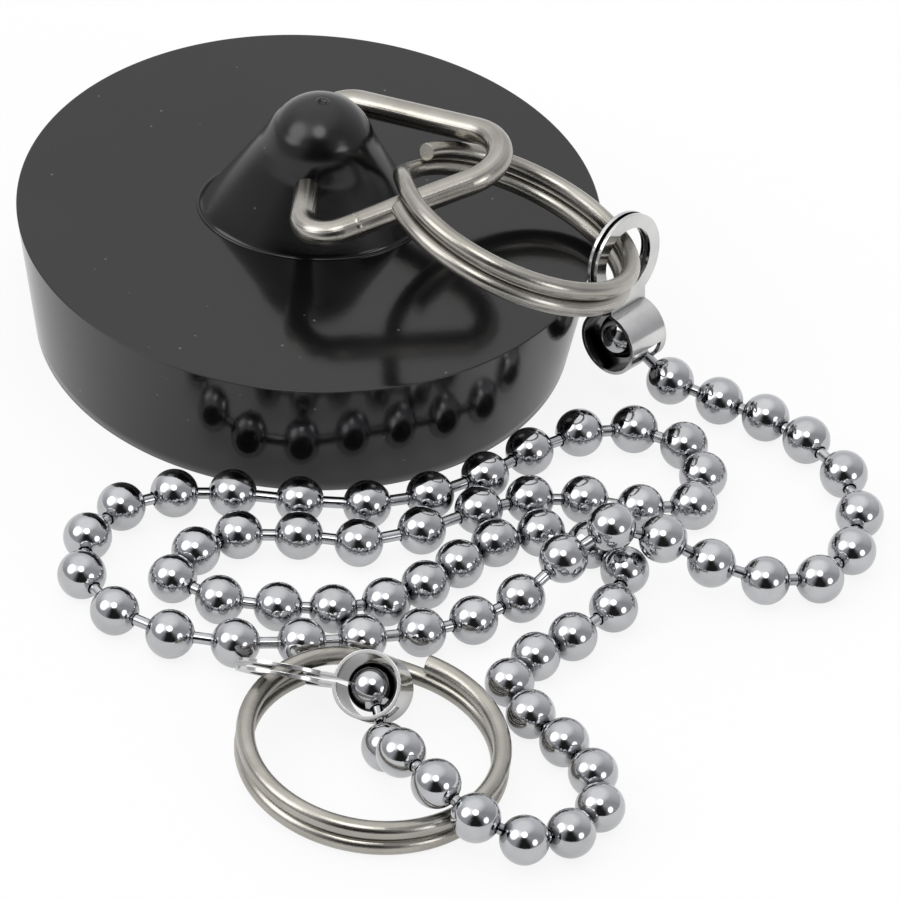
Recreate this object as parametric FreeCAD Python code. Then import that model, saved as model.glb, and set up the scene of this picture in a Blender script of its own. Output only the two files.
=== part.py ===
import FreeCAD, Part
import math
import os

# A rubber sink stopper on a ball chain, lying slack on a flat surface, in millimetres.
# The origin is the centre of the stopper's underside, +Z is up and -Y is the front.

# Stopper: one moulded rubber piece, a tapered disc with a flattened conical boss on top.
top_radius = 19.55
bottom_radius = 18.0
stopper_height = 9.6
rim_round = 0.2
boss_half_width = 7.45
boss_half_depth = 5.45
boss_height = 8.95
boss_shoulder_drop = 1.55
boss_shoulder_radius = 2.85
boss_dome_radius = 3.6
boss_foot_shift = 0.15
boss_top_shift = 0.45
boss_lip_height = 0.12
boss_lip_width = 0.1

# Triangle link: one bent wire through the boss, its ends meeting in the front leg.
link_wire = 1.75
link_base = 16.8
link_rim_inset = 2.95
link_apex_radius = 3.2
link_corner_radius = 1.9
link_joint_gap = 0.15
link_joint_share = 0.22
link_tilt = 12.5
link_slide = 1.5
bore_height = 4.4
bore_heading = 3.4
bore_clearance = 0.12

# Split rings: two turns of one wire, with a step in the gap between the cut ends.
ring_wire = 1.2
ring_mean_radius = 8.15
ring_coil_gap = 0.1
upper_ring_inset = 6.05
upper_ring_front = 6.88
upper_ring_lean = 23.1
upper_ring_heading = 28.5
upper_ring_start = 114.0
upper_ring_gap_angle = 52.0
lower_ring_x = 6.0
lower_ring_ahead = 27.2
lower_ring_lean = 3.6
lower_ring_heading = -39.0
lower_ring_start = 106.0
lower_ring_gap_angle = 59.0
upper_ring_clearance = 0.2
lower_ring_clearance = 0.05

# Couplings: a folded strip, a barrel round the chain's end ball and two eyes round a ring.
coupling_sheet = 0.25
coupling_gap = 0.3
eye_radius = 3.2
eye_hole_radius = 2.25
eye_reach = 5.8
barrel_radius = 2.25
barrel_width = 3.4
slot_width = 1.3
slot_swing = 70.0
upper_eye_angle = -9.0
upper_eye_out = 0.6
upper_eye_rise = -0.5
upper_tab_lean = 9.4
upper_tab_heading = 117.0
upper_barrel_lean = 98.0
upper_barrel_heading = 48.5
lower_eye_angle = 173.85
lower_eye_out = 0.07
lower_eye_rise = 0.3
lower_tab_lean = 95.3
lower_tab_heading = 164.4
lower_barrel_lean = 46.25
lower_barrel_heading = -95.3

# Ball chain: hollow balls on dumbbell pins, whose heads slide inside the balls.
ball_radius = 1.6
ball_wall = 0.2
ball_gap = 0.6
pin_radius = 0.38
pin_head_radius = 0.5
pin_head_thickness = 0.3
pin_length = 2.3
pin_hole_clearance = 0.08
cut_overrun = 1.0

# The chain's route, chosen by hand from the upper coupling to the lower one: its first free ball,
# then every second ball. A point is x, distance in front of the stopper's foot, and lift off the
# surface, all in ball pitches. The first points stay with the upper coupling instead of the foot.
chain_stretch_balls = 6
chain_inset = 19.55
chain_start_front = 18.0
chain_settle_points = 5
chain_route_shares = (
    (6.49, -2.91, 0.18), (7.37, -2.66, 0.0), (8.89, -1.71, 0.0), (9.79, 0.26, 0.0),
    (9.08, 2.05, 0.0), (7.2, 2.16, 0.3), (5.45, 2.1, 0.92), (3.97, 3.15, 0.1),
    (2.31, 4.08, 0.0), (0.3, 4.52, 0.0), (-1.92, 4.5, 0.0), (-3.49, 3.08, 0.0),
    (-2.92, 1.21, 0.0), (-1.03, 0.68, 0.0), (1.29, 0.76, 0.0), (3.3, -0.21, 0.0),
    (4.92, -1.54, 0.0), (6.75, -1.35, 0.0), (6.92, 0.28, 0.0), (5.03, 0.29, 0.0),
    (3.21, 0.74, 0.0), (1.18, 1.8, 0.0), (-0.88, 1.78, 0.0), (-1.95, 3.05, 0.0),
    (-0.13, 3.62, 0.0), (1.69, 3.33, 0.0), (2.91, 2.21, 0.0), (4.29, 1.25, 0.0),
    (5.74, 2.13, 0.0), (4.87, 3.95, 0.0), (3.82, 5.24, 0.0), (4.76, 6.68, 0.0),
    (5.37, 8.26, 0.0), (4.13, 9.36, 0.16), (2.63, 8.66, 0.66), (1.8, 7.1, 0.03))

ball_pitch = 2 * ball_radius + ball_gap
ring_stack = ring_wire + ring_coil_gap
deck = stopper_height
bore_z = deck + bore_height
rim = max(top_radius, bottom_radius)
link_length = rim - link_rim_inset
chain_x = rim - chain_inset


def direction(lean, heading):
    """Unit vector that leans from straight up towards a heading, both in degrees."""
    lean = math.radians(lean)
    heading = math.radians(heading)
    level = math.sin(lean)
    return FreeCAD.Vector(level * math.cos(heading), level * math.sin(heading), math.cos(lean))


def frame(origin, x_axis, z_axis):
    """Placement whose z axis is kept exactly and whose x axis is the nearest to the one given."""
    y_axis = z_axis.cross(x_axis)
    return FreeCAD.Placement(origin, FreeCAD.Rotation(x_axis, y_axis, z_axis, "ZXY"))


def export(name, solids):
    """Write one node: a single solid, or a group of separate solids."""
    shape = solids[0] if len(solids) == 1 else Part.makeCompound(solids)
    shape.exportStep(os.path.join("parts", name + ".step"))


def oval(half_width, half_depth, shift, height):
    """Closed oval wire, lying flat at a height and shifted to the right."""
    circle = Part.Wire(Part.makeCircle(1))
    matrix = FreeCAD.Matrix()
    matrix.scale(half_width, half_depth, 1)
    wire = circle.transformGeometry(matrix)
    wire.translate(FreeCAD.Vector(shift, 0, height))
    return wire


def bore_direction():
    """The cross bore of the boss, from front to back."""
    heading = math.radians(bore_heading)
    return FreeCAD.Vector(math.sin(heading), math.cos(heading), 0)


def make_stopper():
    """Tapered disc, lip and boss in one piece, with the bore for the triangle link."""
    disc = Part.makeCone(bottom_radius, top_radius, stopper_height)
    rims = [edge for edge in disc.Edges if edge.Curve.TypeId == "Part::GeomCircle"]
    disc = disc.makeFillet(rim_round, rims)
    foot_height = deck - boss_lip_height
    foot = oval(boss_half_width, boss_half_depth, boss_foot_shift, foot_height)
    shoulder_height = deck + boss_height - boss_shoulder_drop
    shoulder = oval(boss_shoulder_radius, boss_shoulder_radius, boss_top_shift, shoulder_height)
    boss = Part.makeLoft([foot, shoulder], True, True)
    dome_centre = FreeCAD.Vector(boss_top_shift, 0, deck + boss_height - boss_dome_radius)
    dome = Part.makeSphere(boss_dome_radius, dome_centre)
    lip_half_width = boss_half_width + boss_lip_width
    lip_half_depth = boss_half_depth + boss_lip_width
    lip_foot = oval(lip_half_width, lip_half_depth, boss_foot_shift, foot_height)
    lip = Part.Face(lip_foot).extrude(FreeCAD.Vector(0, 0, 2 * boss_lip_height))
    body = disc.fuse([lip, boss, dome]).removeSplitter()
    bore_start = FreeCAD.Vector(0, 0, bore_z) - bore_direction() * boss_half_width
    bore_radius = link_wire / 2 + bore_clearance
    bore = Part.makeCylinder(bore_radius, 2 * boss_half_width, bore_start, bore_direction())
    return body.cut(bore)


def rounded_path(points, radii):
    """Open wire of straight runs joined by tangent arcs, one radius per inner point."""
    edges = []
    last = points[0]
    for before, corner, after, radius in zip(points, points[1:], points[2:], radii):
        back = (before - corner).normalize()
        ahead = (after - corner).normalize()
        half = back.getAngle(ahead) / 2
        start = corner + back * (radius / math.tan(half))
        end = corner + ahead * (radius / math.tan(half))
        middle = corner + (back + ahead).normalize() * (radius / math.sin(half) - radius)
        edges.append(Part.LineSegment(last, start).toShape())
        edges.append(Part.Arc(start, middle, end).toShape())
        last = end
    edges.append(Part.LineSegment(last, points[-1]).toShape())
    return Part.Wire(edges)


def wire_solid(path, diameter):
    """Round wire along a path."""
    start = path.Edges[0]
    tangent = start.tangentAt(start.FirstParameter)
    circle = Part.makeCircle(diameter / 2, start.valueAt(start.FirstParameter), tangent)
    return path.makePipeShell([Part.Wire(circle)], True, False)


def link_axes():
    """Middle of the link's base, its base direction and the direction to its apex."""
    along = bore_direction()
    level = FreeCAD.Vector(along.y, -along.x, 0)
    tilt = math.radians(link_tilt)
    reach = level * math.cos(tilt) + FreeCAD.Vector(0, 0, math.sin(tilt))
    return FreeCAD.Vector(0, 0, bore_z) - along * link_slide, along, reach


def make_triangle_link():
    """Bent triangle of wire with a butt joint in its front leg."""
    middle, along, reach = link_axes()
    front = middle - along * (link_base / 2)
    back = middle + along * (link_base / 2)
    apex = middle + reach * link_length
    leg = (apex - front).normalize()
    joint = front + (apex - front) * link_joint_share
    points = [joint + leg * link_joint_gap, apex, back, front, joint]
    radii = [link_apex_radius, link_corner_radius, link_corner_radius]
    return wire_solid(rounded_path(points, radii), link_wire)


def ring_point(angle, level):
    """Point on a ring's wire in the ring's own frame."""
    angle = math.radians(angle)
    return FreeCAD.Vector(ring_mean_radius * math.cos(angle), ring_mean_radius * math.sin(angle), level)


def ring_arc(start, sweep, level):
    """Half of one coil of a ring."""
    points = [ring_point(start - sweep * share, level) for share in (0, 0.5, 1)]
    return Part.Arc(*points).toShape()


def tangent_arc(start, tangent, end):
    """Arc that leaves the start along a tangent and reaches the end."""
    chord = end - start
    turn = tangent.getAngle(chord)
    bulge = (tangent * chord.Length - chord * math.cos(turn)).normalize()
    middle = (start + end) / 2 + bulge * (chord.Length / 2 * math.tan(turn / 2))
    return Part.Arc(start, middle, end).toShape()


def ring_step(start, gap, level):
    """The stretch of wire that steps from the upper coil down to the lower one, in two arcs."""
    end = start - gap
    first = ring_point(start, level)
    last = ring_point(end, -level)
    leave = ring_point(start - 90, 0).normalize()
    arrive = ring_point(end - 90, 0).normalize()
    span = last - first
    along = span.dot(leave + arrive)
    bend = 2 * (1 - leave.dot(arrive))
    reach = (math.sqrt(along * along + bend * span.dot(span)) - along) / bend
    middle = (first + last + (leave - arrive) * reach) / 2
    back = tangent_arc(last, arrive * -1, middle)
    back.reverse()
    return [tangent_arc(first, leave, middle), back]


def make_split_ring(start, gap):
    """Two-turn ring in its own frame, the cut end of its upper coil at the start angle."""
    level = ring_stack / 2
    coil = 360 - gap
    upper = [ring_arc(start, coil / 2, level), ring_arc(start - coil / 2, coil / 2, level)]
    step = ring_step(start - coil, gap, level)
    lower = [ring_arc(start, coil / 2, -level), ring_arc(start - coil / 2, coil / 2, -level)]
    return wire_solid(Part.Wire(upper + step + lower), ring_wire)


def downhill(heading):
    """Level direction of a heading, in degrees."""
    return direction(90, heading)


def upper_ring_frame():
    """The upper ring leans over the stopper's rim and rests on its top."""
    height = ring_mean_radius * math.sin(math.radians(upper_ring_lean)) + ring_stack / 2 + ring_wire / 2
    reach = rim - upper_ring_inset
    centre = FreeCAD.Vector(reach, -upper_ring_front, deck + height + upper_ring_clearance)
    return frame(centre, downhill(upper_ring_heading), direction(upper_ring_lean, upper_ring_heading))


def lower_ring_frame():
    """The lower ring lies on the surface, propped at the back by its coupling."""
    height = ring_mean_radius * math.sin(math.radians(lower_ring_lean)) + ring_stack / 2 + ring_wire / 2
    front = bottom_radius + lower_ring_ahead
    centre = FreeCAD.Vector(chain_x + lower_ring_x, -front, height + lower_ring_clearance)
    return frame(centre, downhill(lower_ring_heading), direction(lower_ring_lean, lower_ring_heading))


def coupling_frame(eye, tab, barrel):
    """Frame at the barrel's centre: z points to the eyes and y runs along the barrel."""
    across = barrel.cross(tab).normalize()
    return frame(eye - tab * eye_reach, across, tab)


def ring_eye(ring_frame, angle, out, rise):
    """Centre of a coupling's eyes, a little off the wire that they hang on."""
    outward = ring_point(angle, 0).normalize()
    return ring_frame.multVec(outward * (ring_mean_radius + out) + FreeCAD.Vector(0, 0, rise))


def upper_coupling_frame():
    """The upper coupling hangs from its ring beside the stopper."""
    eye = ring_eye(upper_ring_frame(), upper_eye_angle, upper_eye_out, upper_eye_rise)
    tab = direction(upper_tab_lean, upper_tab_heading)
    return coupling_frame(eye, tab, direction(upper_barrel_lean, upper_barrel_heading))


def lower_coupling_frame():
    """The lower coupling lies across the back of its ring, its barrel open to the front."""
    eye = ring_eye(lower_ring_frame(), lower_eye_angle, lower_eye_out, lower_eye_rise)
    tab = direction(lower_tab_lean, lower_tab_heading)
    return coupling_frame(eye, tab, direction(lower_barrel_lean, lower_barrel_heading))


def pin_slot(way):
    """Wedge of the barrel's wall that the end pin passes through and can swing in."""
    y_axis = FreeCAD.Vector(0, 1, 0)
    corner = FreeCAD.Vector(0, -slot_width / 2, 0)
    wedge = Part.makeCylinder(barrel_radius + cut_overrun, slot_width, corner, y_axis, slot_swing)
    first = wedge.CenterOfMass
    turn = math.atan2(way.x, way.z) - math.atan2(first.x, first.z)
    wedge.rotate(FreeCAD.Vector(0, 0, 0), y_axis, math.degrees(turn))
    wedge.translate(y_axis * (way.y / math.hypot(way.x, way.z) * barrel_radius))
    return wedge


def make_coupling(way):
    """Folded strip in its own frame; the end pin leaves the barrel along the way given."""
    y_axis = FreeCAD.Vector(0, 1, 0)
    x_axis = FreeCAD.Vector(1, 0, 0)
    half_gap = coupling_gap / 2
    long_cut = barrel_width + 2 * cut_overrun
    barrel = Part.makeCylinder(barrel_radius, barrel_width, y_axis * (-barrel_width / 2), y_axis)
    plates = []
    tab_length = eye_reach - eye_hole_radius - barrel_radius
    for side in (half_gap, -half_gap - coupling_sheet):
        corner = FreeCAD.Vector(side, -barrel_width / 2, barrel_radius - coupling_sheet)
        eye = FreeCAD.Vector(side, 0, eye_reach)
        plates.append(Part.makeBox(coupling_sheet, barrel_width, tab_length, corner))
        plates.append(Part.makeCylinder(eye_radius, coupling_sheet, eye, x_axis))
    hollow = Part.makeCylinder(barrel_radius - coupling_sheet, long_cut, y_axis * (-long_cut / 2), y_axis)
    fold_corner = FreeCAD.Vector(-half_gap, -long_cut / 2, 0)
    fold = Part.makeBox(coupling_gap, long_cut, barrel_radius + cut_overrun, fold_corner)
    hole_length = 2 * (half_gap + coupling_sheet + cut_overrun)
    hole_start = FreeCAD.Vector(-hole_length / 2, 0, eye_reach)
    hole = Part.makeCylinder(eye_hole_radius, hole_length, hole_start, x_axis)
    return barrel.fuse(plates).cut([hollow, fold, hole, pin_slot(way)]).removeSplitter()


def route_point(index, shares):
    """One point of the route, from ball pitches to a place beside the stopper."""
    x, front, lift = shares
    settled = min(index / chain_settle_points, 1)
    foot = chain_start_front + (bottom_radius - chain_start_front) * settled
    y = -foot - front * ball_pitch
    return FreeCAD.Vector(chain_x + x * ball_pitch, y, ball_radius + lift * ball_pitch)


def ball_centres(first, last):
    """Places of all balls: the two in the couplings, and the rest on a smooth curve along the route."""
    points = [route_point(index, shares) for index, shares in enumerate(chain_route_shares)]
    curve = Part.BSplineCurve()
    curve.interpolate(points)
    knots = curve.getKnots()
    centres = [first, points[0]]
    for start, end in zip(knots[1:], knots[2:]):
        middle = curve.parameterAtDistance(curve.length(start, end) / 2, start)
        centres += [curve.value(start), curve.value(middle)]
    centres += [points[-1], last]
    for centre in centres:
        centre.z = max(centre.z, ball_radius)
    return centres


def make_ball(shell, centre, neighbours):
    """Hollow ball with a round hole towards each neighbour."""
    ball = shell.copy()
    middle = FreeCAD.Vector(0, 0, 0)
    hole_radius = pin_radius + pin_hole_clearance
    for neighbour in neighbours:
        way = neighbour - centre
        ball = ball.cut(Part.makeCylinder(hole_radius, ball_radius + cut_overrun, middle, way))
    ball.translate(centre)
    return ball


def make_pin():
    """Dumbbell pin along z, centred on the origin."""
    rod = Part.makeCylinder(pin_radius, pin_length, FreeCAD.Vector(0, 0, -pin_length / 2))
    heads = []
    for end in (-pin_length / 2, pin_length / 2):
        corner = FreeCAD.Vector(0, 0, end - pin_head_thickness / 2)
        heads.append(Part.makeCylinder(pin_head_radius, pin_head_thickness, corner))
    return rod.fuse(heads).removeSplitter()


def pin_between(pin, start, end):
    """Copy of the pin halfway between two balls."""
    placed = pin.copy()
    turn = FreeCAD.Rotation(FreeCAD.Vector(0, 0, 1), end - start)
    placed.Placement = FreeCAD.Placement((start + end) / 2, turn)
    return placed


def placed_at(shape, place):
    """The shape moved from its own frame to its place."""
    shape.Placement = place
    return shape


def export_chain(centres):
    """Balls and pins of the chain, one node of each for every stretch."""
    outside = Part.makeSphere(ball_radius)
    shell = outside.cut(Part.makeSphere(ball_radius - ball_wall))
    pin = make_pin()
    for first in range(0, len(centres), chain_stretch_balls):
        number = str(first // chain_stretch_balls + 1)
        indices = range(first, min(first + chain_stretch_balls, len(centres)))
        balls = []
        pins = []
        for index in indices:
            following = centres[index + 1:index + 2]
            neighbours = centres[max(index - 1, 0):index] + following
            balls.append(make_ball(shell, centres[index], neighbours))
            pins += [pin_between(pin, centres[index], centre) for centre in following]
        export("chain_balls_" + number, balls)
        export("chain_pins_" + number, pins)


def export_coupling(name, place, end_ball, next_ball):
    """One coupling, with its slot towards the chain."""
    way = place.Rotation.inverted().multVec(next_ball - end_ball)
    export(name, [placed_at(make_coupling(way), place)])


os.makedirs("parts", exist_ok=True)
upper_place = upper_coupling_frame()
lower_place = lower_coupling_frame()
chain = ball_centres(upper_place.Base, lower_place.Base)
export("stopper", [make_stopper()])
export("triangle_link", [make_triangle_link()])
upper_ring = make_split_ring(upper_ring_start, upper_ring_gap_angle)
lower_ring = make_split_ring(lower_ring_start, lower_ring_gap_angle)
export("upper_split_ring", [placed_at(upper_ring, upper_ring_frame())])
export("lower_split_ring", [placed_at(lower_ring, lower_ring_frame())])
export_coupling("upper_coupling", upper_place, chain[0], chain[1])
export_coupling("lower_coupling", lower_place, chain[-1], chain[-2])
export_chain(chain)
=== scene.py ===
import math
import random

import bpy
from mathutils import Matrix, Vector


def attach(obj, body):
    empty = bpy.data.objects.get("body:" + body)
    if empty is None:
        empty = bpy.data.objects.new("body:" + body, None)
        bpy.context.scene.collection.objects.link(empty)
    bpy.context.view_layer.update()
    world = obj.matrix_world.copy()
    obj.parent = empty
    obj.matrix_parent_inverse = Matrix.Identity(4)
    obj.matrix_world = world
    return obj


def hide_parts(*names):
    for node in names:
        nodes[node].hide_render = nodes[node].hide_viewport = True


# A rubber sink stopper with its ball chain, lying on a white surface in soft light, in metres.

# Camera: place, view direction and the picture's up direction, worked out from the stopper's rims.
camera_place = Vector((0.0, -0.44207, 0.34852))
camera_forward = Vector((0.0185, 0.7762, -0.6302))
camera_up = Vector((-0.05898, 0.63004, 0.77432))
camera_lens = 333.98
camera_sensor = 36.0
camera_clip = 0.01

# Floor: how white it stays to the eye and in the metal, next to how it is lit.
floor_half = 3.0
floor_colour = (0.86, 0.86, 0.86, 1.0)
floor_roughness = 0.9
floor_seen_share = 0.88
floor_mirrored_share = 0.55

# Room: colours on the right, the left and behind the object. A region or panel is a direction, the
# angle up to which it is full and the angle at which it ends; a panel has its light too. The dark
# panels stand for the unlit room round the camera.
room_right = (0.46, 0.46, 0.48)
room_left = (0.48, 0.48, 0.50)
room_back = (0.86, 0.86, 0.88)
room_left_region = ((-1.0, 0.0, 0.0), 30.0, 130.0)
room_back_region = ((0.0, 0.85, 0.5), 35.0, 80.0)
room_panels = (
    ((-0.20, 0.25, 0.95), 22.0, 48.0, 1.2),
    ((0.02, -0.97, 0.16), 21.0, 44.0, 0.02),
    ((-0.08, -0.80, 0.60), 9.0, 22.0, 0.02),
    ((-0.46, -0.32, 0.83), 8.0, 18.0, 1.6),
    ((-0.76, -0.20, 0.62), 13.0, 23.0, 3.2),
    ((-0.06, -0.42, 0.90), 10.0, 15.0, 4.2),
    ((0.75, -0.60, 0.34), 8.0, 14.0, 3.6))

# Rubber: its patches and grain, dust specks, and the duller boss. A bump is its strength and its
# depth in metres, and the boss's span is in millimetres above the disc.
rubber_dark = (0.004, 0.004, 0.0045)
rubber_pale = (0.007, 0.007, 0.0075)
rubber_ior = 1.49
rubber_patch_scale = 90.0
rubber_patch_span = (0.3, 0.7)
rubber_patch_bump = (0.1, 0.0002)
rubber_gloss_span = (0.25, 0.75)
rubber_roughness = (0.08, 0.15)
rubber_grain_scale = 2600.0
rubber_grain_bump = (0.12, 0.00002)
rubber_boss_span = (0.2, 1.2)
rubber_boss_dullness = 0.1
dust_colour = (0.16, 0.16, 0.16)
dust_scale = 520.0
dust_span = (0.02, 0.06)
dust_cover = 0.8

# Wire: colours of its darker and brighter lines, each on dark and on pale patches. The edge is the
# radius, in metres, to which sharp edges look rounded.
wire_dark_line = ((0.29, 0.276, 0.246), (0.40, 0.386, 0.35))
wire_bright_line = ((0.37, 0.355, 0.32), (0.49, 0.47, 0.43))
wire_line_scale = 9000.0
wire_line_detail = 3.0
wire_line_span = (0.3, 0.7)
wire_line_bump = (0.22, 0.00003)
wire_patch_scale = 300.0
wire_patch_span = (0.3, 0.7)
wire_gloss_span = (0.25, 0.75)
wire_roughness = (0.18, 0.32)
wire_grain_scale = 4200.0
wire_grain_bump = (0.16, 0.00003)
wire_edge = 0.00012

# Plating: smears, grain and painted shade in the corners, then the beads and the folded sheet. The
# reach is how far, in metres, a near surface darkens the colour as painted shade.
plate_smear_scale = 420.0
plate_smear_span = (0.35, 0.7)
plate_smear_share = 0.84
plate_gloss_span = (0.3, 0.75)
plate_grain_scale = 6000.0
plate_grain_bump = (0.06, 0.00002)
plate_corner_span = (0.3, 0.85)
plate_painted_shade_share = 0.22
plate_edge = 0.00007
bead_tint = (0.53, 0.535, 0.55)
bead_roughness = (0.06, 0.11)
bead_painted_shade_reach = 0.0008
sheet_tint = (0.68, 0.68, 0.67)
sheet_roughness = (0.1, 0.2)
sheet_painted_shade_reach = 0.0045

# Settings that the materials share.
grain_detail = 2.0
edge_samples = 6
corner_samples = 8

# Stopper, in millimetres and degrees. A boss section is half width, half depth and shift to the right.
millimetre = 0.001
stopper_steps = 256
disc_bottom = 18.0
disc_top = 19.55
disc_height = 9.6
disc_edge = 0.09
disc_edge_angles = (25.0, 50.0, 70.0, 90.0)
disc_side_rows = 12
disc_underside = (6.0, 12.0)
deck_shares = (0.02, 0.1, 0.3, 0.6, 0.9, 0.97)
boss_foot = (7.45, 5.45, 0.15)
boss_shoulder = (2.85, 2.85, 0.45)
boss_shoulder_height = 7.4
boss_fade_height = 7.0
boss_fade_rate = 1.2
boss_height = 8.95
boss_rows = 36
boss_blend = 0.4
boss_bead = 0.13
boss_bead_angles = (0.0, 30.0, 60.0, 90.0, 120.0, 150.0)
dome_radius = 3.6
dome_low_angle = 10.0
dome_rows = 40
gate_radius = 0.36
gate_width = 0.11
gate_depth = 0.16
gate_reach = 0.9
gate_rows = 18
gate_ring_share = 0.7
gate_pit_share = 1.2
gate_raggedness = 0.25
gate_waves = (3, 5)
gate_phase = 1.0
sharp_angle = 50.0
bore_height = 14.0
bore_heading = 3.4
bore_radius = 0.995
bore_steps = 64

# Flare of the bore: distance along it and radius, where that is wider than the bore.
bore_profile = (
    (-8.0, 1.9), (-4.7, 1.9), (-4.0, 1.35), (-3.1, 0.0),
    (3.1, 0.0), (4.0, 1.35), (4.7, 1.9), (8.0, 1.9))

# Directions square to each bent wire's plane.
wire_levels = {
    "triangle_link": (-0.216, 0.0128, 0.976),
    "upper_split_ring": (0.3448, 0.1872, 0.9198),
    "lower_split_ring": (0.0488, -0.0395, 0.998)}

# Link: its wire and sides as modelled, and the burr where its ends meet, in millimetres.
link_wire = 1.75
link_base = 16.8
link_length = 16.6
link_slide = 1.5
link_tilt = 12.5
link_joint_share = 0.22
link_joint_gap = 0.15
burr_half_length = 0.34
burr_swell = 0.09
burr_sink = 0.03
burr_wander = 0.02
burr_jag = 0.03
burr_least_share = 0.2
burr_shares = (-1.0, -0.7, -0.4, -0.15, 0.1, 0.35, 0.65, 1.0)
burr_steps = 28
burr_seed = 5

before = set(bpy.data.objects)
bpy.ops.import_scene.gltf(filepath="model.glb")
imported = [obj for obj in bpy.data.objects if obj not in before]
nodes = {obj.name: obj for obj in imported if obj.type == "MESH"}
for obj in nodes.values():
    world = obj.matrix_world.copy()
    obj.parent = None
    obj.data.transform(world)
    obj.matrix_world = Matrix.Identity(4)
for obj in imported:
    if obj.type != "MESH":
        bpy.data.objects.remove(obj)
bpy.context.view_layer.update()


def add_node(tree, kind, inputs=None, **settings):
    """New shader node with its settings and unlinked inputs filled in."""
    node = tree.nodes.new(kind)
    for name, value in settings.items():
        setattr(node, name, value)
    for name, value in (inputs or {}).items():
        node.inputs[name].default_value = value
    return node


def new_material(name):
    """New material, its node tree and its main shader."""
    material = bpy.data.materials.new(name)
    material.use_nodes = True
    tree = material.node_tree
    shader = tree.nodes["Principled BSDF"]
    return material, tree, shader


def noise(tree, coordinates, scale, detail=3.0, roughness=0.55):
    """Noise texture on the given coordinates."""
    inputs = {"Scale": scale, "Detail": detail, "Roughness": roughness}
    node = add_node(tree, "ShaderNodeTexNoise", inputs)
    tree.links.new(coordinates, node.inputs["Vector"])
    return node.outputs["Fac"]


def ramp(tree, value, low, high, start=0.0, end=1.0):
    """Value mapped from the span low to high to the span start to end, held at the ends."""
    inputs = {"From Min": low, "From Max": high, "To Min": start, "To Max": end}
    node = add_node(tree, "ShaderNodeMapRange", inputs)
    tree.links.new(value, node.inputs["Value"])
    return node.outputs["Result"]


def mix_colour(tree, factor, first, second):
    """Mix of two colours by a factor; a colour is a plain value or a socket."""
    node = add_node(tree, "ShaderNodeMix", data_type="RGBA")
    tree.links.new(factor, node.inputs["Factor"])
    for name, colour in (("A", first), ("B", second)):
        socket = [entry for entry in node.inputs if entry.name == name and entry.type == "RGBA"][0]
        if isinstance(colour, bpy.types.NodeSocket):
            tree.links.new(colour, socket)
        else:
            socket.default_value = (*colour, 1.0)
    return [entry for entry in node.outputs if entry.type == "RGBA"][0]


def bump(tree, height, strength, distance, normal=None):
    """Normals bumped by a height socket, on top of other normals if they are given."""
    node = add_node(tree, "ShaderNodeBump", {"Strength": strength, "Distance": distance})
    tree.links.new(height, node.inputs["Height"])
    if normal is not None:
        tree.links.new(normal, node.inputs["Normal"])
    return node.outputs["Normal"]


def rubber_material():
    """Glossy black moulded rubber with dust specks and a faintly uneven skin."""
    material, tree, shader = new_material("black_rubber")
    place = add_node(tree, "ShaderNodeTexCoord").outputs["Object"]
    cloud = noise(tree, place, rubber_patch_scale)
    grain = noise(tree, place, rubber_grain_scale, grain_detail)
    specks = add_node(tree, "ShaderNodeTexVoronoi", {"Scale": dust_scale, "Randomness": 1.0})
    tree.links.new(place, specks.inputs["Vector"])
    dust = ramp(tree, specks.outputs["Distance"], *dust_span, dust_cover, 0.0)
    base = mix_colour(tree, ramp(tree, cloud, *rubber_patch_span), rubber_dark, rubber_pale)
    tree.links.new(mix_colour(tree, dust, base, dust_colour), shader.inputs["Base Color"])
    height = add_node(tree, "ShaderNodeSeparateXYZ")
    tree.links.new(place, height.inputs["Vector"])
    low, high = [(disc_height + rise) * millimetre for rise in rubber_boss_span]
    matt = ramp(tree, height.outputs["Z"], low, high, 0.0, rubber_boss_dullness)
    rough = add_node(tree, "ShaderNodeMath", operation="ADD")
    tree.links.new(ramp(tree, cloud, *rubber_gloss_span, *rubber_roughness), rough.inputs[0])
    tree.links.new(matt, rough.inputs[1])
    tree.links.new(rough.outputs["Value"], shader.inputs["Roughness"])
    grained = bump(tree, grain, *rubber_grain_bump)
    tree.links.new(bump(tree, cloud, *rubber_patch_bump, grained), shader.inputs["Normal"])
    shader.inputs["IOR"].default_value = rubber_ior
    return material


def rounded_normal(tree, radius):
    """Normals that round the sharp edges of a thin metal piece."""
    node = add_node(tree, "ShaderNodeBevel", {"Radius": radius}, samples=edge_samples)
    return node.outputs["Normal"]


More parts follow.
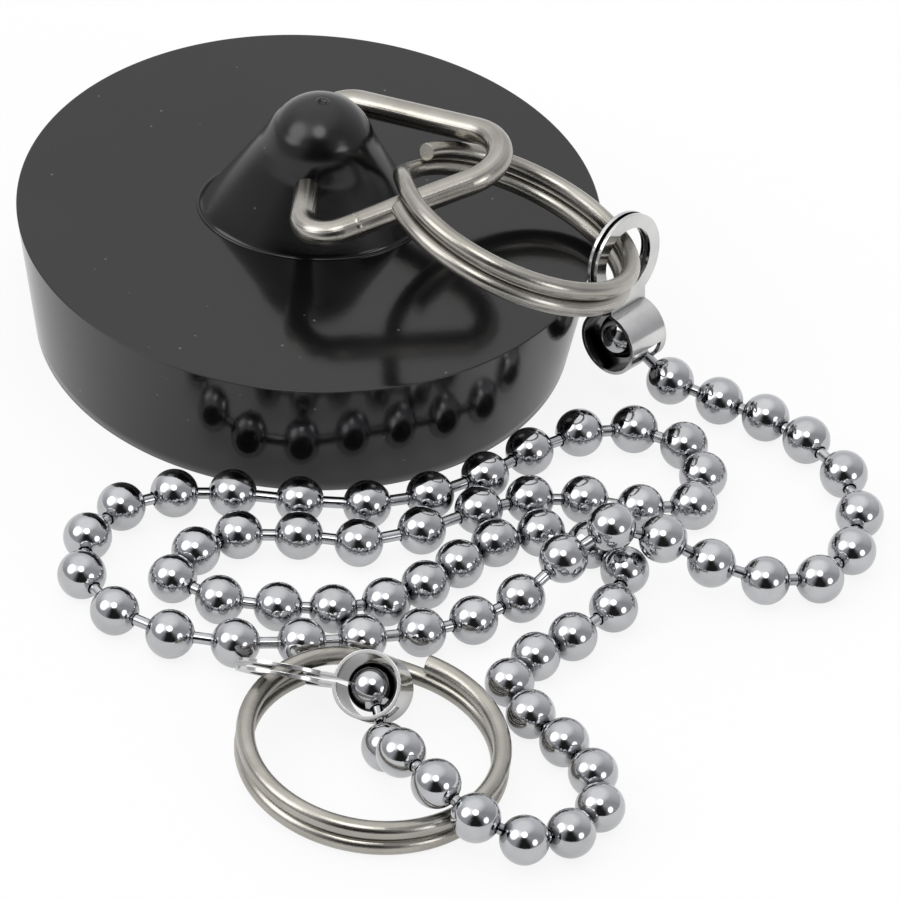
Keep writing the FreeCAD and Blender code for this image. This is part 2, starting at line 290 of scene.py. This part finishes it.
def wire_material(name, level):
    """Drawn satin wire, warm grey, with fine lines along it; level is square to the bent wire."""
    material, tree, shader = new_material(name)
    place = add_node(tree, "ShaderNodeTexCoord").outputs["Object"]
    across = add_node(tree, "ShaderNodeVectorMath", operation="DOT_PRODUCT")
    across.inputs[1].default_value = Vector(level).normalized()
    tree.links.new(place, across.inputs[0])
    inputs = {"Scale": wire_line_scale, "Detail": wire_line_detail}
    lines = add_node(tree, "ShaderNodeTexNoise", inputs, noise_dimensions="1D")
    tree.links.new(across.outputs["Value"], lines.inputs["W"])
    line = lines.outputs["Fac"]
    cloud = noise(tree, place, wire_patch_scale)
    grain = noise(tree, place, wire_grain_scale, grain_detail)
    drawn = ramp(tree, line, *wire_line_span)
    bright = mix_colour(tree, ramp(tree, cloud, *wire_patch_span), *wire_bright_line)
    dark = mix_colour(tree, ramp(tree, cloud, *wire_patch_span), *wire_dark_line)
    tree.links.new(mix_colour(tree, drawn, dark, bright), shader.inputs["Base Color"])
    shader.inputs["Metallic"].default_value = 1.0
    tree.links.new(ramp(tree, line, *wire_gloss_span, *wire_roughness), shader.inputs["Roughness"])
    lined = bump(tree, line, *wire_line_bump, rounded_normal(tree, wire_edge))
    tree.links.new(bump(tree, grain, *wire_grain_bump, lined), shader.inputs["Normal"])
    return material


def chrome_material(name, tint, roughness, painted_shade_reach):
    """Bright plating with faint smears and a fine grain, and painted shade darkening its colour in its
    corners.
    """
    material, tree, shader = new_material(name)
    place = add_node(tree, "ShaderNodeTexCoord").outputs["Object"]
    cloud = noise(tree, place, plate_smear_scale)
    grain = noise(tree, place, plate_grain_scale, grain_detail)
    dull = tuple(plate_smear_share * part for part in tint)
    painted_shade_colour = tuple(plate_painted_shade_share * part for part in tint)
    smeared = mix_colour(tree, ramp(tree, cloud, *plate_smear_span), tint, dull)
    # Painted shade: the colour darkens towards a dark copy of the tint where near surfaces close in, in
    # corners, recesses and between parts.
    inputs = {"Distance": painted_shade_reach}
    corners = add_node(tree, "ShaderNodeAmbientOcclusion", inputs, samples=corner_samples)
    open_share = ramp(tree, corners.outputs["AO"], *plate_corner_span)
    tree.links.new(mix_colour(tree, open_share, painted_shade_colour, smeared), shader.inputs["Base Color"])
    shader.inputs["Metallic"].default_value = 1.0
    tree.links.new(ramp(tree, cloud, *plate_gloss_span, *roughness), shader.inputs["Roughness"])
    edges = rounded_normal(tree, plate_edge)
    tree.links.new(bump(tree, grain, *plate_grain_bump, edges), shader.inputs["Normal"])
    return material


def oval_row(half_width, half_depth, shift, height):
    """Points round an oval section of the stopper, in metres."""
    row = []
    for step in range(stopper_steps):
        turn = 2 * math.pi * step / stopper_steps
        point = Vector((shift + half_width * math.cos(turn), half_depth * math.sin(turn), height))
        row.append(point * millimetre)
    return row


def disc_rows():
    """Sections of the disc from its underside to its top, with narrow round edges."""
    underside = (*disc_underside, disc_bottom - disc_edge)
    rows = [oval_row(radius, radius, 0.0, 0.0) for radius in underside]
    for row in range(disc_side_rows + 1):
        share = row / disc_side_rows
        height = disc_edge + share * (disc_height - 2 * disc_edge)
        radius = disc_bottom + (disc_top - disc_bottom) * height / disc_height
        rows.append(oval_row(radius, radius, 0.0, height))
    for angle in disc_edge_angles:
        turn = math.radians(angle)
        radius = disc_top - disc_edge * (1 - math.cos(turn))
        rows.append(oval_row(radius, radius, 0.0, disc_height - disc_edge * (1 - math.sin(turn))))
    half_width, half_depth, shift = boss_foot
    for share in deck_shares:
        wide = disc_top + (half_width + 2 * boss_bead - disc_top) * share
        deep = disc_top + (half_depth + 2 * boss_bead - disc_top) * share
        rows.append(oval_row(wide, deep, shift * share, disc_height))
    return rows


def soft_max(first, second):
    """The larger of two values, with a rounded change from one to the other."""
    near = max(boss_blend - abs(first - second), 0.0) / boss_blend
    return max(first, second) + near * near * boss_blend / 4


def boss_row(height):
    """Section of the boss at a height above the disc: its cone, blended into its dome."""
    share = height / boss_shoulder_height
    sizes = [low + (high - low) * share for low, high in zip(boss_foot, boss_shoulder)]
    fade = boss_fade_rate * max(height - boss_fade_height, 0.0) ** 2
    rise = height - boss_height + dome_radius
    ball = math.sqrt(max(dome_radius ** 2 - rise ** 2, 0.0))
    wide = soft_max(sizes[0] - fade, ball)
    deep = soft_max(sizes[1] - fade, ball)
    return oval_row(wide, deep, min(sizes[2], boss_shoulder[2]), disc_height + height)


def gate_row(radius):
    """Section of the dome's top, with the small ring and pit of a moulding gate."""
    height = boss_height - dome_radius + math.sqrt(dome_radius ** 2 - radius ** 2)
    ring = math.exp(-((radius - gate_radius) / gate_width) ** 2)
    pit = math.exp(-(radius / gate_radius) ** 2)
    row = oval_row(radius, radius, boss_shoulder[2], disc_height + height)
    for step, point in enumerate(row):
        turn = 2 * math.pi * step / stopper_steps
        wave = math.sin(gate_waves[0] * turn + gate_phase) * math.cos(gate_waves[1] * turn)
        ragged = 1 - gate_raggedness + gate_raggedness * wave
        rise = gate_ring_share * ring * ragged - gate_pit_share * pit
        point.z += gate_depth * rise * millimetre
    return row


def boss_sections():
    """Sections of the boss from the bead at its foot to the top of its dome."""
    half_width, half_depth, shift = boss_foot
    rows = []
    for angle in boss_bead_angles:
        turn = math.radians(angle)
        out = boss_bead * (1 + math.cos(turn))
        height = disc_height + boss_bead * math.sin(turn)
        rows.append(oval_row(half_width + out, half_depth + out, shift, height))
    dome_low = math.sin(math.radians(dome_low_angle)) * dome_radius
    low_top = boss_height - dome_radius + dome_low
    rows += [boss_row(boss_bead + (low_top - boss_bead) * row / boss_rows) for row in range(boss_rows)]
    high_angle = math.degrees(math.acos(gate_reach / dome_radius))
    for row in range(dome_rows):
        angle = dome_low_angle + (high_angle - dome_low_angle) * row / dome_rows
        rows.append(boss_row(boss_height - dome_radius + dome_radius * math.sin(math.radians(angle))))
    rows += [gate_row(gate_reach * (1 - row / gate_rows)) for row in range(gate_rows)]
    return rows


def skin(name, rows):
    """Closed mesh object over rows of points, with a middle point at each end."""
    count = len(rows[0])
    points = [point for row in rows for point in row]
    faces = []
    for row in range(len(rows) - 1):
        for step in range(count):
            after = (step + 1) % count
            low = row * count
            faces.append((low + step, low + after, low + count + after, low + count + step))
    last = (len(rows) - 1) * count
    for row, first, flip in ((rows[0], 0, True), (rows[-1], last, False)):
        middle = len(points)
        points.append(sum(row, Vector()) / count)
        for step in range(count):
            pair = (first + step, first + (step + 1) % count)
            faces.append((*(reversed(pair) if flip else pair), middle))
    mesh = bpy.data.meshes.new(name)
    mesh.from_pydata(points, [], faces)
    piece = bpy.data.objects.new(name, mesh)
    bpy.context.scene.collection.objects.link(piece)
    return piece


def bore_cutter():
    """Round bar along the bore, flaring where it meets the boss's skin."""
    heading = math.radians(bore_heading)
    along = Vector((math.sin(heading), math.cos(heading), 0.0))
    across = Vector((math.cos(heading), -math.sin(heading), 0.0))
    rows = []
    for distance, flare in bore_profile:
        radius = max(flare, bore_radius)
        middle = along * distance + Vector((0.0, 0.0, bore_height))
        row = []
        for step in range(bore_steps):
            turn = 2 * math.pi * step / bore_steps
            point = middle + (across * math.cos(turn) + Vector((0.0, 0.0, math.sin(turn)))) * radius
            row.append(point * millimetre)
        rows.append(row)
    return skin("bore_cutter", rows)


def add_stopper():
    """The moulded rubber stopper, in place of its plain solid."""
    stopper = skin("stopper_rubber", disc_rows() + boss_sections())
    cutter = bore_cutter()
    cut = stopper.modifiers.new("bore", "BOOLEAN")
    cut.operation = "DIFFERENCE"
    cut.solver = "EXACT"
    cut.object = cutter
    shown = stopper.evaluated_get(bpy.context.evaluated_depsgraph_get())
    mesh = bpy.data.meshes.new_from_object(shown)
    stopper.modifiers.clear()
    stopper.data = mesh
    bpy.data.objects.remove(cutter)
    mesh.polygons.foreach_set("use_smooth", [True] * len(mesh.polygons))
    mesh.set_sharp_from_angle(angle=math.radians(sharp_angle))
    mesh.materials.clear()
    mesh.materials.append(rubber_material())
    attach(stopper, "stopper")
    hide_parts("stopper")


def link_joint():
    """Middle of the gap between the link's wire ends, and the direction of that leg, in millimetres."""
    heading = math.radians(bore_heading)
    tilt = math.radians(link_tilt)
    along = Vector((math.sin(heading), math.cos(heading), 0.0))
    level = Vector((along.y, -along.x, 0.0))
    reach = level * math.cos(tilt) + Vector((0.0, 0.0, math.sin(tilt)))
    middle = Vector((0.0, 0.0, bore_height)) - along * link_slide
    front = middle - along * (link_base / 2)
    apex = middle + reach * link_length
    leg = (apex - front).normalized()
    return front + (apex - front) * link_joint_share + leg * (link_joint_gap / 2), leg


def add_link_burr(material):
    """Ragged collar where the link's two wire ends were pressed together."""
    centre, leg = link_joint()
    side = leg.cross(Vector((0.0, 0.0, 1.0))).normalized()
    top = side.cross(leg)
    chance = random.Random(burr_seed)
    rows = []
    for share in burr_shares:
        swell = burr_swell * (1 - share * share)
        middle = centre + leg * (share * burr_half_length + chance.uniform(-burr_wander, burr_wander))
        row = []
        for step in range(burr_steps):
            turn = 2 * math.pi * step / burr_steps
            radius = link_wire / 2 - burr_sink + swell * chance.uniform(burr_least_share, 1.0)
            point = middle + (side * math.cos(turn) + top * math.sin(turn)) * radius
            row.append((point + leg * chance.uniform(-burr_jag, burr_jag)) * millimetre)
        rows.append(row)
    burr = skin("link_burr", rows)
    burr.data.materials.append(material)
    burr.data.polygons.foreach_set("use_smooth", [True] * len(burr.data.polygons))
    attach(burr, "triangle_link")


def dress(material, names):
    """Give the material to the named CAD nodes."""
    for name in names:
        mesh = nodes[name].data
        mesh.materials.clear()
        mesh.materials.append(material)


def floor_material():
    """White surface that stays white to the eye and in the metal, and keeps a soft shadow."""
    material, tree, shader = new_material("white_floor")
    shader.inputs["Base Color"].default_value = floor_colour
    shader.inputs["Roughness"].default_value = floor_roughness
    white = add_node(tree, "ShaderNodeEmission", {"Strength": 1.0})
    path = add_node(tree, "ShaderNodeLightPath")
    seen = add_node(tree, "ShaderNodeMath", operation="MAXIMUM")
    eye = ramp(tree, path.outputs["Is Camera Ray"], 0.0, 1.0, 0.0, floor_seen_share)
    mirror = ramp(tree, path.outputs["Is Glossy Ray"], 0.0, 1.0, 0.0, floor_mirrored_share)
    tree.links.new(eye, seen.inputs[0])
    tree.links.new(mirror, seen.inputs[1])
    mixed = add_node(tree, "ShaderNodeMixShader")
    tree.links.new(seen.outputs["Value"], mixed.inputs["Fac"])
    tree.links.new(shader.outputs["BSDF"], mixed.inputs[1])
    tree.links.new(white.outputs["Emission"], mixed.inputs[2])
    output = tree.nodes["Material Output"]
    tree.links.new(mixed.outputs["Shader"], output.inputs["Surface"])
    return material


def add_floor():
    """Large plane that the object lies on."""
    half = floor_half
    mesh = bpy.data.meshes.new("floor")
    corners = [(-half, -half, 0.0), (half, -half, 0.0), (half, half, 0.0), (-half, half, 0.0)]
    mesh.from_pydata(corners, [], [(0, 1, 2, 3)])
    mesh.materials.append(floor_material())
    floor = bpy.data.objects.new("floor", mesh)
    bpy.context.scene.collection.objects.link(floor)


def facing(tree, ray, way, inner, outer):
    """1 where a ray points within the inner angle of a direction, down to 0 at the outer angle."""
    dot = add_node(tree, "ShaderNodeVectorMath", operation="DOT_PRODUCT")
    dot.inputs[1].default_value = Vector(way).normalized()
    tree.links.new(ray, dot.inputs[0])
    far = math.cos(math.radians(outer))
    near = math.cos(math.radians(inner))
    return ramp(tree, dot.outputs["Value"], far, near)


def add_world():
    """Pale room with soft panels overhead and at the sides, dark round the camera."""
    world = bpy.data.worlds.new("room")
    bpy.context.scene.world = world
    world.use_nodes = True
    tree = world.node_tree
    room = tree.nodes["Background"]
    ray = add_node(tree, "ShaderNodeTexCoord").outputs["Generated"]
    left = facing(tree, ray, *room_left_region)
    behind = facing(tree, ray, *room_back_region)
    sides = mix_colour(tree, left, room_right, room_left)
    colour = mix_colour(tree, behind, sides, room_back)
    for way, inner, outer, light in room_panels:
        share = facing(tree, ray, way, inner, outer)
        colour = mix_colour(tree, share, colour, (light, light, light))
    tree.links.new(colour, room.inputs["Color"])
    white = add_node(tree, "ShaderNodeBackground", {"Strength": 1.0})
    path = add_node(tree, "ShaderNodeLightPath")
    mixed = add_node(tree, "ShaderNodeMixShader")
    tree.links.new(path.outputs["Is Camera Ray"], mixed.inputs["Fac"])
    tree.links.new(room.outputs["Background"], mixed.inputs[1])
    tree.links.new(white.outputs["Background"], mixed.inputs[2])
    tree.links.new(mixed.outputs["Shader"], tree.nodes["World Output"].inputs["Surface"])


def add_camera():
    """Camera at the photograph's place, with its long lens."""
    data = bpy.data.cameras.new("camera")
    data.lens = camera_lens
    data.sensor_width = camera_sensor
    data.clip_start = camera_clip
    camera = bpy.data.objects.new("camera", data)
    forward = camera_forward.normalized()
    right = forward.cross(camera_up).normalized()
    up = right.cross(forward)
    turn = Matrix((right, up, -forward)).transposed().to_4x4()
    camera.matrix_world = Matrix.Translation(camera_place) @ turn
    bpy.context.scene.collection.objects.link(camera)
    bpy.context.scene.camera = camera


add_stopper()
for name, level in wire_levels.items():
    dress(wire_material(name + "_wire", level), [name])
add_link_burr(bpy.data.materials["triangle_link_wire"])
plated = [name for name in nodes if name.startswith("chain_")]
# Both platings carry painted shade in their corners, darker where near surfaces close in.
beads = chrome_material("plated_beads", bead_tint, bead_roughness, bead_painted_shade_reach)
dress(beads, plated)
sheet = chrome_material("plated_sheet", sheet_tint, sheet_roughness, sheet_painted_shade_reach)
dress(sheet, ["upper_coupling", "lower_coupling"])

add_floor()
add_world()
add_camera()
bpy.context.scene.view_settings.view_transform = "Standard"
